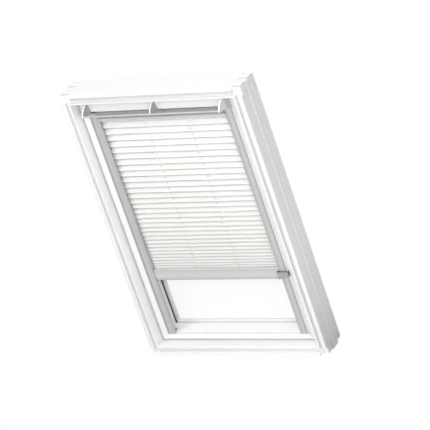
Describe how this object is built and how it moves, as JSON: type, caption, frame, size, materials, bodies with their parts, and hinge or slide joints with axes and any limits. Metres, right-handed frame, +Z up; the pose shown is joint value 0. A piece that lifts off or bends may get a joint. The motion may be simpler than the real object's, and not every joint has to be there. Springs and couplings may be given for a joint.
{
  "type": "roof window with pleated blind",
  "caption": "Centre-pivot roof window with a ventilation flap and control bar on the sash, and a cord-guided pleated blind whose bottom bar slides in side rails.",
  "frame": {"origin": "middle of the sill's underside, halfway through the frame's depth", "axes": "+X right seen from the room, +Y from the room to the outside, +Z up the slope of the roof from sill to head"},
  "size_m": [0.66, 0.1438, 0.978],
  "materials": {
    "white_paint": "white painted pine, satin",
    "white_plastic": "white moulded plastic, satin",
    "satin_aluminium": "satin anodised",
    "grey_coated_aluminium": "grey coating, matt",
    "grey_plastic": "grey moulded plastic",
    "zinc_steel": "zinc plated",
    "black_rubber": "matt black seal",
    "spacer_metal": "mill finish",
    "clear_glass": "clear float glass",
    "pleated_cloth": "white pleated polyester",
    "cord_braid": "white braided cord"
  },
  "bodies": {
    "frame": {"frame_head": "white_paint", "frame_sill": "white_paint", "frame_jamb_left": "white_paint", "frame_jamb_right": "white_paint", "pivot_frame_plate_left": "zinc_steel", "pivot_frame_plate_right": "zinc_steel"},
    "sash": {"sash_top_rail": "white_paint", "sash_bottom_rail": "white_paint", "sash_stile_left": "white_paint", "sash_stile_right": "white_paint", "glazing_seal_inner": "black_rubber", "glazing_pane_inner": "clear_glass", "glazing_spacer": "spacer_metal", "glazing_pane_outer": "clear_glass", "glazing_seal_outer": "black_rubber", "sash_cover_top": "grey_coated_aluminium", "sash_cover_bottom": "grey_coated_aluminium", "sash_cover_left": "grey_coated_aluminium", "sash_cover_right": "grey_coated_aluminium", "pivot_sash_plate_left": "zinc_steel", "pivot_sash_plate_right": "zinc_steel", "flap_end_cover_left": "grey_plastic", "flap_end_cover_right": "grey_plastic", "side_rail_left": "satin_aluminium", "side_rail_right": "satin_aluminium", "head_rail": "satin_aluminium", "cloth_top_strip": "white_plastic", "pleated_cloth": "pleated_cloth", "lift_cord_left": "cord_braid", "lift_cord_right": "cord_braid"},
    "flap": {"vent_flap": "white_plastic", "control_bar": "satin_aluminium", "bar_bracket_left": "white_plastic", "bar_bracket_middle": "white_plastic", "bar_bracket_right": "white_plastic"},
    "blind_bar": {"bottom_bar": "satin_aluminium", "bar_end_piece": "satin_aluminium", "bar_runner_left": "grey_plastic", "bar_runner_right": "grey_plastic", "grip_block": "grey_plastic"}
  },
  "joints": [
    {"name": "sash_pivot", "type": "hinge", "parent": "frame", "child": "sash", "pos_m": [0, 0.026, 0.489], "axis": [1, 0, 0], "range_deg": [0, 160]},
    {"name": "flap_hinge", "type": "hinge", "parent": "sash", "child": "flap", "pos_m": [0, -0.0225, 0.905], "axis": [1, 0, 0], "range_deg": [0, 35]},
    {"name": "blind_slide", "type": "slide", "parent": "sash", "child": "blind_bar", "axis": [0, 0, 1], "range_m": [-0.2, 0.48], "deforming": ["pleated_cloth", "lift_cord_left", "lift_cord_right"]}
  ]
}
